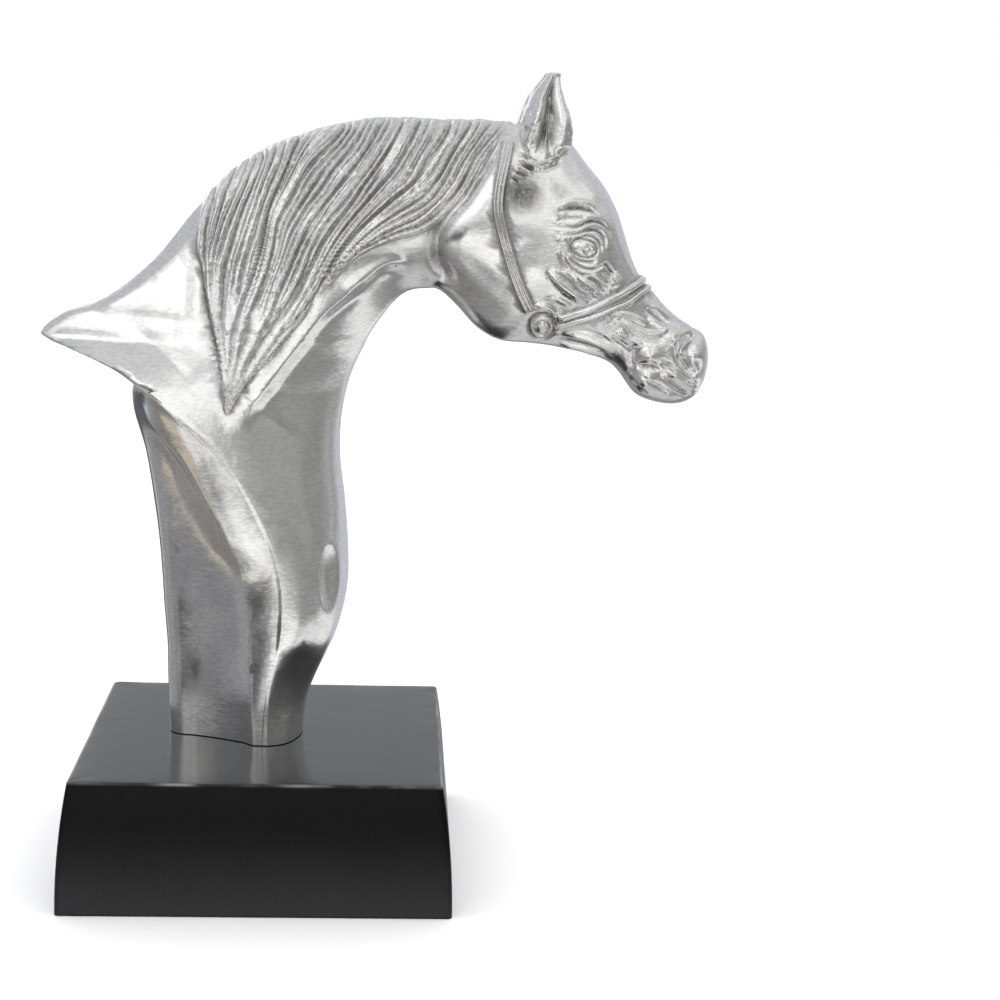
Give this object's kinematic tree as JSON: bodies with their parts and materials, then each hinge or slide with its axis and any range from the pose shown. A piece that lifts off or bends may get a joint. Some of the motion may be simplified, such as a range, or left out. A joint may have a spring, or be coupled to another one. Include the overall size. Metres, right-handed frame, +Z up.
{
  "type": "horse head sculpture",
  "caption": "Horse head and arched neck with a carved mane and a bridle, cast in polished aluminium, on a square black wooden plinth with bowed sides.",
  "frame": {"origin": "centre of the plinth's flat underside", "axes": "+X towards the horse's nose, +Z up from the plinth, Y across the neck with the figure's two sides mirrored about it"},
  "size_m": [0.2323, 0.1326, 0.2799],
  "materials": {
    "polished_aluminium": "polished cast aluminium with fine grinding marks and dark patina left in the grooves",
    "black_lacquer": "black satin lacquer on a solid wooden block"
  },
  "bodies": {
    "root": {"horse_head": "polished_aluminium", "plinth": "black_lacquer"}
  },
  "joints": []
}
